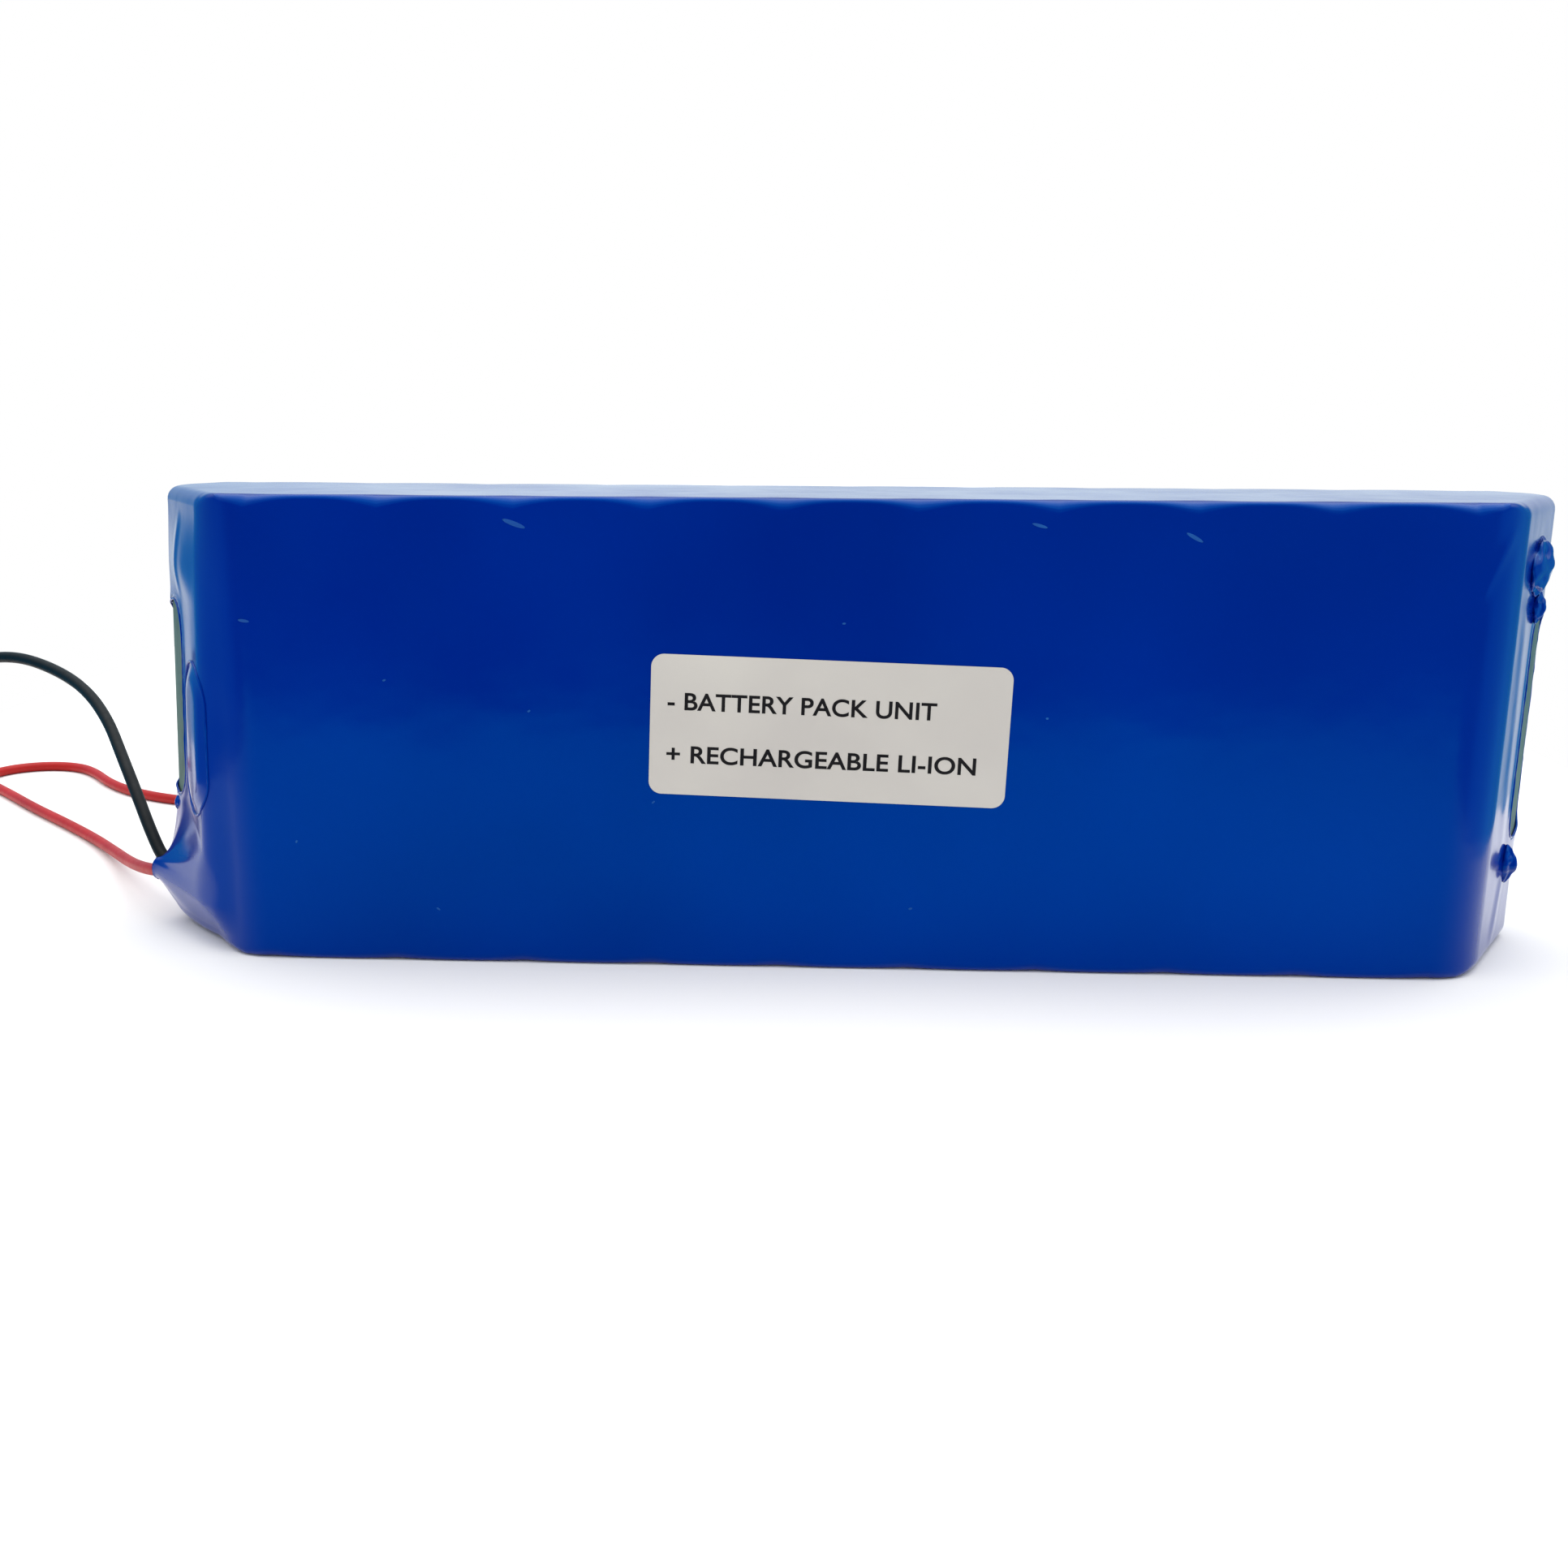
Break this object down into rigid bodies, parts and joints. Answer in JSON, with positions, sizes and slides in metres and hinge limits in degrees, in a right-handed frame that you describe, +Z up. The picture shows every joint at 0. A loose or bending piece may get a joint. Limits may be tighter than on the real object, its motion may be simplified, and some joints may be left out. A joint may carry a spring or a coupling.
{
  "type": "battery pack",
  "caption": "Soft-cased lithium-ion battery pack: upright round cells in two nested rows inside blue heat-shrink film, with slanted ends, a front label and two free leads.",
  "frame": {"origin": "middle of the base, on the surface that the pack stands on", "axes": "+X right along the pack, +Y from the labelled front to the back, +Z up"},
  "size_m": [0.3019, 0.1294, 0.0666],
  "materials": {
    "can_steel": "nickel-plated drawn steel",
    "cell_wrap": "thin shrink sleeve on each cell",
    "nickel_plate": "pressed and plated",
    "gasket_plastic": "moulded",
    "fibre_ring": "pressed fibre",
    "glue": "set silicone",
    "nickel_strip": "rolled nickel, spot welded",
    "fish_paper": "vulcanised fibre",
    "glass_epoxy": "green glass-fibre board",
    "circuit_board": "solder mask",
    "chip_plastic": "moulded epoxy",
    "resistor_ceramic": "thick film",
    "solder": "reflowed solder",
    "sense_wire": "thin hook-up wire",
    "lead_red": "PVC hook-up wire",
    "lead_black": "PVC hook-up wire",
    "tinned_copper": "tinned strands",
    "shrink_film": "blue PVC heat-shrink film",
    "label_paper": "printed paper label"
  },
  "bodies": {
    "root": {"back_board": "glass_epoxy", "back_paper": "fish_paper", "bms_chip": "chip_plastic", "bms_mosfets": "chip_plastic", "bms_pcb": "circuit_board", "bms_pins": "solder", "bms_resistors": "resistor_ceramic", "bms_spacers": "fish_paper", "cell_01": "can_steel", "cell_02": "can_steel", "cell_03": "can_steel", "cell_04": "can_steel", "cell_05": "can_steel", "cell_06": "can_steel", "cell_07": "can_steel", "cell_08": "can_steel", "cell_09": "can_steel", "cell_10": "can_steel", "cell_11": "can_steel", "cell_12": "can_steel", "cell_13": "can_steel", "cell_14": "can_steel", "cell_15": "can_steel", "cell_16": "can_steel", "cell_17": "can_steel", "cell_18": "can_steel", "cell_19": "can_steel", "cell_20": "can_steel", "cell_21": "can_steel", "cell_caps": "nickel_plate", "cell_gaskets": "gasket_plastic", "cell_glue": "glue", "cell_rings": "fibre_ring", "cell_wraps": "cell_wrap", "coil_black": "lead_black", "end_board_left": "glass_epoxy", "end_board_right": "glass_epoxy", "front_board": "glass_epoxy", "label": "label_paper", "lead_black": "lead_black", "lead_red": "lead_red", "links_b1": "nickel_strip", "links_b2": "nickel_strip", "links_b_minus": "nickel_strip", "links_b_plus": "nickel_strip", "nickel_b1": "nickel_strip", "nickel_b2": "nickel_strip", "nickel_b_minus": "nickel_strip", "nickel_b_plus": "nickel_strip", "paper_bottom": "fish_paper", "paper_top": "fish_paper", "return_strip": "nickel_strip", "shrink_sleeve": "shrink_film", "solder_joints": "solder", "tab_b_minus": "nickel_strip", "tap_strip": "nickel_strip", "tap_tab": "nickel_strip", "tip_black": "tinned_copper", "tip_red": "tinned_copper", "wire_sense": "sense_wire"}
  },
  "joints": []
}
